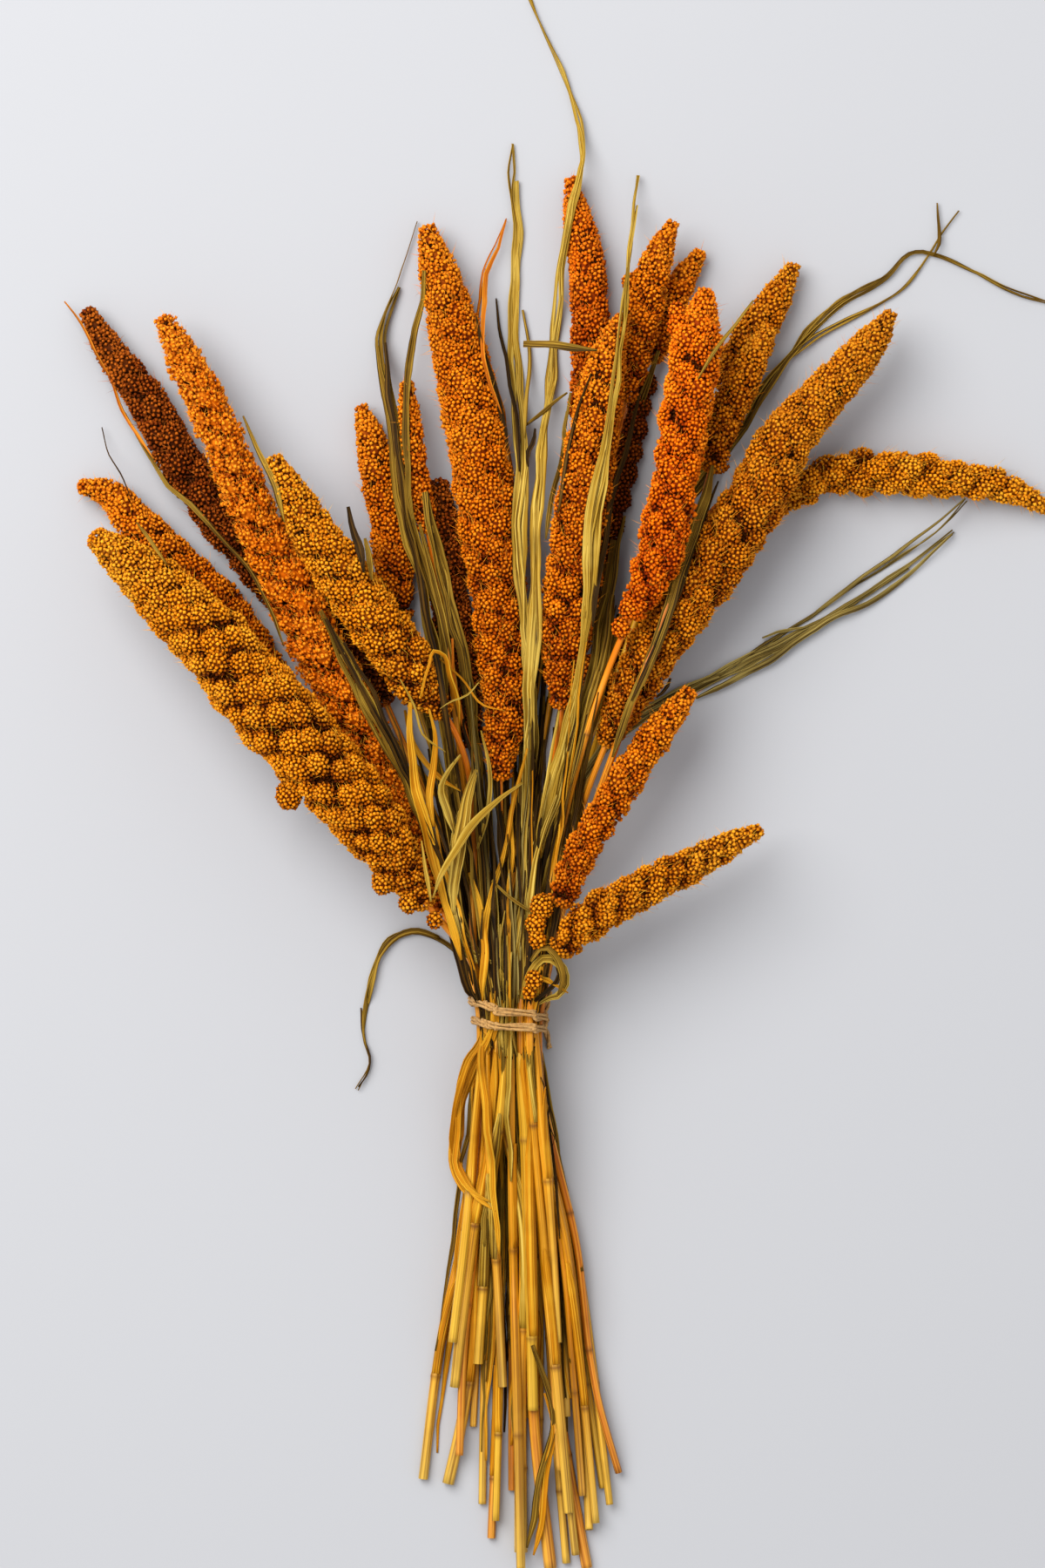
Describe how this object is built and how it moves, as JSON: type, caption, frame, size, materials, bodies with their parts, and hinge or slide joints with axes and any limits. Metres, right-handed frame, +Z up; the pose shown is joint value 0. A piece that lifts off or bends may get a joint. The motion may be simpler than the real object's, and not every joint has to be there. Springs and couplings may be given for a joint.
{
  "type": "bundle of dried foxtail millet",
  "caption": "Hand-tied bunch of dried foxtail millet: lobed orange seed heads fanned out on straw culms with dry leaves, bound at the neck with jute twine, lying flat.",
  "frame": {"origin": "middle of the bounding box in plan, on the surface that the bundle lies on", "axes": "+Z up; +Y along the bundle from the cut ends to the tips of the seed heads; +X to the right seen from above with the tips pointing away"},
  "size_m": [0.4267, 0.6907, 0.0617],
  "materials": {
    "millet": "matte",
    "straw": "satin",
    "leaf": "matte",
    "twine": "matte"
  },
  "bodies": {
    "root": {"culm_centre": "straw", "culm_front_yellow": "straw", "culm_inner_dark": "straw", "culm_inner_left": "straw", "culm_inner_small": "straw", "culm_leafy": "straw", "culm_left_big": "straw", "culm_left_dark": "straw", "culm_left_fluffy": "straw", "culm_left_hidden": "straw", "culm_left_slim": "straw", "culm_low_braided": "straw", "culm_low_slim": "straw", "culm_right_back": "straw", "culm_right_dark": "straw", "culm_right_level": "straw", "culm_right_long": "straw", "culm_right_of_centre": "straw", "culm_right_short": "straw", "culm_top_red": "straw", "culm_upper_right": "straw", "culm_upper_right_back": "straw", "culm_vivid": "straw", "head_centre": "millet", "head_front_yellow": "millet", "head_inner_dark": "millet", "head_inner_left": "millet", "head_inner_small": "millet", "head_left_big": "millet", "head_left_dark": "millet", "head_left_fluffy": "millet", "head_left_hidden": "millet", "head_left_slim": "millet", "head_low_braided": "millet", "head_low_slim": "millet", "head_right_back": "millet", "head_right_dark": "millet", "head_right_level": "millet", "head_right_long": "millet", "head_right_of_centre": "millet", "head_right_short": "millet", "head_top_red": "millet", "head_upper_right": "millet", "head_upper_right_back": "millet", "head_vivid": "millet", "leaf_bent_loop": "leaf", "leaf_drooping_left": "leaf", "leaf_grey_right": "leaf", "leaf_kinked_tall": "leaf", "leaf_olive_broken": "leaf", "leaf_olive_inner": "leaf", "leaf_olive_left": "leaf", "leaf_olive_right": "leaf", "leaf_pale_front": "leaf", "leaf_sheath_left": "leaf", "leaf_sheath_right": "leaf", "leaf_straw_tall": "leaf", "leaf_thin_orange": "leaf", "leaf_torn_front": "leaf", "twine_tie": "twine"}
  },
  "joints": []
}
